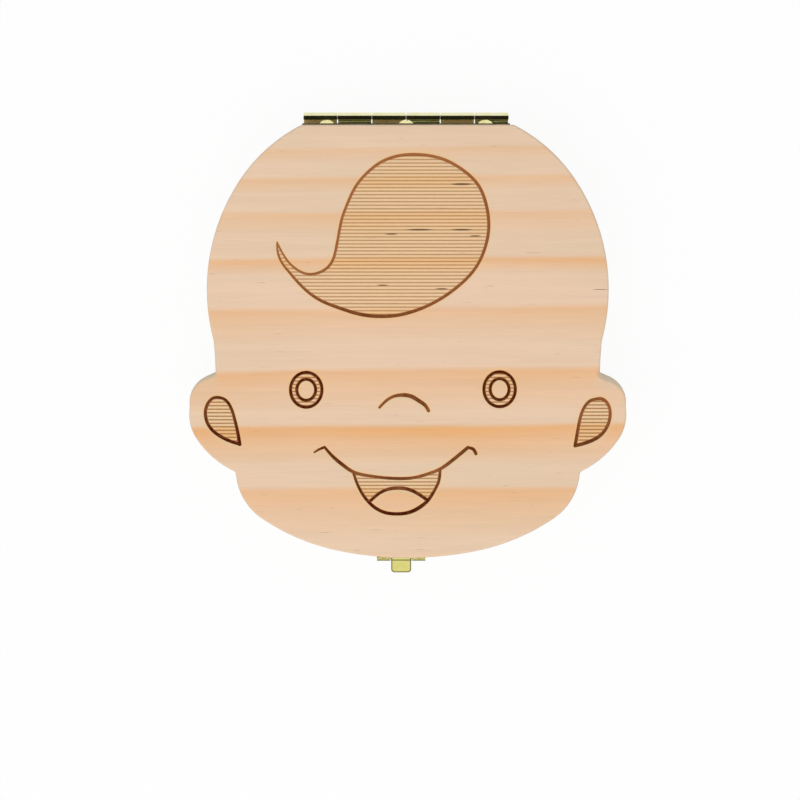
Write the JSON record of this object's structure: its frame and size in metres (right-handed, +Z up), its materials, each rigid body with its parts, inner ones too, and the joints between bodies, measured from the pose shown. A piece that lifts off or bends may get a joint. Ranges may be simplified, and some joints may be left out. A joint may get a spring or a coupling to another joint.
{
  "type": "baby tooth box",
  "caption": "Keepsake box for milk teeth, shaped as a baby's head in pine, with a piano hinge at the top, a hasp at the chin and routed tooth wells inside.",
  "frame": {"origin": "middle of the flat underside of the base, under the middle of the face", "axes": "+Z up through the lid's face, +Y towards the hinge at the top of the head, -Y towards the hasp at the chin, +X to the right as one looks down on the face"},
  "size_m": [0.12, 0.1292, 0.03],
  "materials": {
    "pine": "sanded, unvarnished",
    "brass_plated_steel": "bright plated",
    "screw_brass": "bright plated",
    "pin_steel": "drawn wire"
  },
  "bodies": {
    "base": {"base": "pine", "hinge_leaf_base": "brass_plated_steel", "hinge_pin": "pin_steel", "hinge_screws_base": "screw_brass", "catch_plate": "brass_plated_steel", "catch_nails": "screw_brass"},
    "lid": {"lid": "pine", "hinge_leaf_lid": "brass_plated_steel", "hinge_screws_lid": "screw_brass", "latch_plate": "brass_plated_steel", "latch_nails": "screw_brass", "latch_pin": "pin_steel"},
    "latch_tongue": {"latch_tongue": "brass_plated_steel"}
  },
  "joints": [
    {"name": "lid_hinge", "type": "hinge", "parent": "base", "child": "lid", "pos_m": [-0.00045, 0.0624, 0.015], "axis": [-1, 0, 0], "range_deg": [0, 180]},
    {"name": "latch_hinge", "type": "hinge", "parent": "lid", "child": "latch_tongue", "pos_m": [-0.0018, -0.0603, 0.021], "axis": [-1, 0, 0], "range_deg": [0, 120]}
  ]
}
